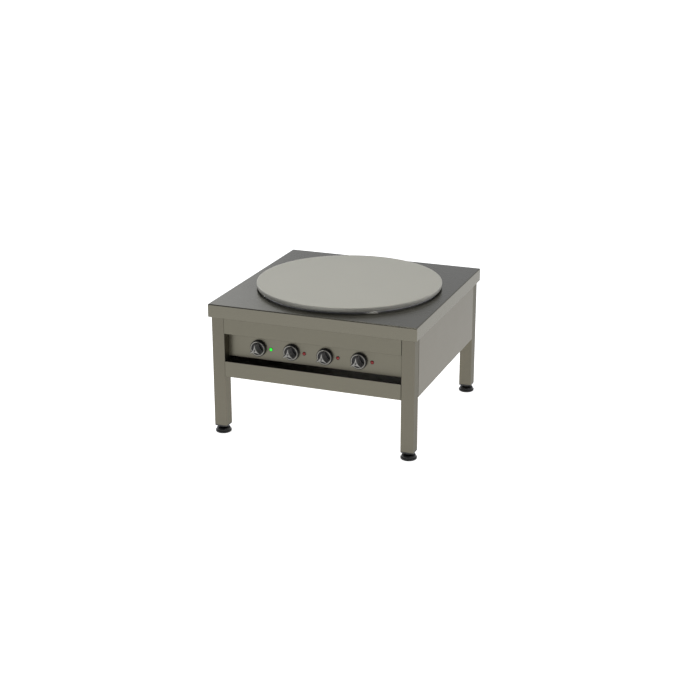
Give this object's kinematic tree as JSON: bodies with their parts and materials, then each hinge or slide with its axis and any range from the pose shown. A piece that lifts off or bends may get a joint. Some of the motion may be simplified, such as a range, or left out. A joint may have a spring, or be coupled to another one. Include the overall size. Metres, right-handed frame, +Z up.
{
  "type": "electric stock pot stove",
  "caption": "Low square stainless stove table with one large round hot plate, a recessed control panel with rotary knobs and lamps, and screw feet on tube legs.",
  "frame": {"origin": "on the floor, under the middle of the table", "axes": "+Z up, -Y to the front where the knobs are, +X to the right seen from the front"},
  "size_m": [0.65, 0.65, 0.428],
  "materials": {
    "top_sheet_steel": "brushed, satin",
    "panel_steel": "brushed along its length",
    "leg_steel": "brushed along its length",
    "polished_steel": "polished",
    "plate_steel": "fine machined, matt",
    "frame_steel": "primer, matt",
    "cover_steel": "mill finish",
    "fastener_steel": "zinc plated",
    "element_sheath": "heat darkened",
    "ceramic_fibre": "fibrous, matt",
    "switch_plastic": "moulded",
    "terminal_ceramic": "unglazed",
    "gland_plastic": "moulded",
    "black_plastic": "moulded",
    "foot_black": "moulded, slight gloss",
    "knob_black": "moulded, satin",
    "dial_silver": "metallised",
    "cap_silver": "satin",
    "green_lens": "glossy, lit",
    "red_lens": "glossy, unlit"
  },
  "bodies": {
    "stove": {"top_sheet": "top_sheet_steel", "plate_collar": "polished_steel", "leg_front_left": "leg_steel", "leg_front_right": "leg_steel", "leg_rear_left": "leg_steel", "leg_rear_right": "leg_steel", "upper_rails": "frame_steel", "plate_bearers": "frame_steel", "front_fascia": "panel_steel", "control_panel": "panel_steel", "lower_rail": "panel_steel", "side_panel_left": "panel_steel", "side_panel_right": "panel_steel", "back_panel": "panel_steel", "bottom_cover": "cover_steel", "cover_screws": "fastener_steel", "hot_plate": "plate_steel", "element_inner": "element_sheath", "element_middle": "element_sheath", "element_outer": "element_sheath", "clamp_plate": "frame_steel", "fibre_disc": "ceramic_fibre", "heat_shield": "cover_steel", "plate_studs": "fastener_steel", "plate_nuts": "fastener_steel", "standoff_sleeves": "fastener_steel", "safety_limiter": "switch_plastic", "main_switch": "switch_plastic", "energy_regulators": "switch_plastic", "switch_screws": "fastener_steel", "lamp_bodies": "black_plastic", "mains_lens": "green_lens", "zone_lenses": "red_lens", "terminal_block": "terminal_ceramic", "cable_gland": "gland_plastic", "leg_plugs": "black_plastic"},
    "mains_knob": {"knob_mains": "knob_black", "dial_mains": "dial_silver", "cap_mains": "cap_silver", "shaft_mains": "fastener_steel"},
    "inner_knob": {"knob_inner": "knob_black", "dial_inner": "dial_silver", "cap_inner": "cap_silver", "shaft_inner": "fastener_steel"},
    "middle_knob": {"knob_middle": "knob_black", "dial_middle": "dial_silver", "cap_middle": "cap_silver", "shaft_middle": "fastener_steel"},
    "outer_knob": {"knob_outer": "knob_black", "dial_outer": "dial_silver", "cap_outer": "cap_silver", "shaft_outer": "fastener_steel"},
    "front_left_foot_stud": {"stud_front_left": "foot_black"},
    "front_left_foot_pad": {"pad_front_left": "foot_black"},
    "front_right_foot_stud": {"stud_front_right": "foot_black"},
    "front_right_foot_pad": {"pad_front_right": "foot_black"},
    "rear_left_foot_stud": {"stud_rear_left": "foot_black"},
    "rear_left_foot_pad": {"pad_rear_left": "foot_black"},
    "rear_right_foot_stud": {"stud_rear_right": "foot_black"},
    "rear_right_foot_pad": {"pad_rear_right": "foot_black"}
  },
  "joints": [
    {"name": "mains_knob_turn", "type": "hinge", "parent": "stove", "child": "mains_knob", "pos_m": [-0.179, -0.287, 0.2785], "axis": [0, 1, 0], "range_deg": [0, 90]},
    {"name": "inner_knob_turn", "type": "hinge", "parent": "stove", "child": "inner_knob", "pos_m": [-0.073, -0.287, 0.2785], "axis": [0, 1, 0], "range_deg": [0, 270]},
    {"name": "middle_knob_turn", "type": "hinge", "parent": "stove", "child": "middle_knob", "pos_m": [0.033, -0.287, 0.2785], "axis": [0, 1, 0], "range_deg": [0, 270]},
    {"name": "outer_knob_turn", "type": "hinge", "parent": "stove", "child": "outer_knob", "pos_m": [0.139, -0.287, 0.2785], "axis": [0, 1, 0], "range_deg": [0, 270]},
    {"name": "front_left_foot_rise", "type": "slide", "parent": "stove", "child": "front_left_foot_stud", "axis": [0, 0, -1], "range_m": [0, 0.01225]},
    {"name": "front_left_foot_turn", "type": "hinge", "parent": "front_left_foot_stud", "child": "front_left_foot_pad", "pos_m": [-0.297, -0.297, 0], "axis": [0, 0, -1], "range_deg": [0, 2521]},
    {"name": "front_right_foot_rise", "type": "slide", "parent": "stove", "child": "front_right_foot_stud", "axis": [0, 0, -1], "range_m": [0, 0.01225]},
    {"name": "front_right_foot_turn", "type": "hinge", "parent": "front_right_foot_stud", "child": "front_right_foot_pad", "pos_m": [0.297, -0.297, 0], "axis": [0, 0, -1], "range_deg": [0, 2521]},
    {"name": "rear_left_foot_rise", "type": "slide", "parent": "stove", "child": "rear_left_foot_stud", "axis": [0, 0, -1], "range_m": [0, 0.01225]},
    {"name": "rear_left_foot_turn", "type": "hinge", "parent": "rear_left_foot_stud", "child": "rear_left_foot_pad", "pos_m": [-0.297, 0.297, 0], "axis": [0, 0, -1], "range_deg": [0, 2521]},
    {"name": "rear_right_foot_rise", "type": "slide", "parent": "stove", "child": "rear_right_foot_stud", "axis": [0, 0, -1], "range_m": [0, 0.01225]},
    {"name": "rear_right_foot_turn", "type": "hinge", "parent": "rear_right_foot_stud", "child": "rear_right_foot_pad", "pos_m": [0.297, 0.297, 0], "axis": [0, 0, -1], "range_deg": [0, 2521]}
  ],
  "couplings": [
    {"joint": "front_left_foot_turn", "follows": "front_left_foot_rise", "rad_per_m": 3590.4},
    {"joint": "front_right_foot_turn", "follows": "front_right_foot_rise", "rad_per_m": 3590.4},
    {"joint": "rear_left_foot_turn", "follows": "rear_left_foot_rise", "rad_per_m": 3590.4},
    {"joint": "rear_right_foot_turn", "follows": "rear_right_foot_rise", "rad_per_m": 3590.4}
  ]
}
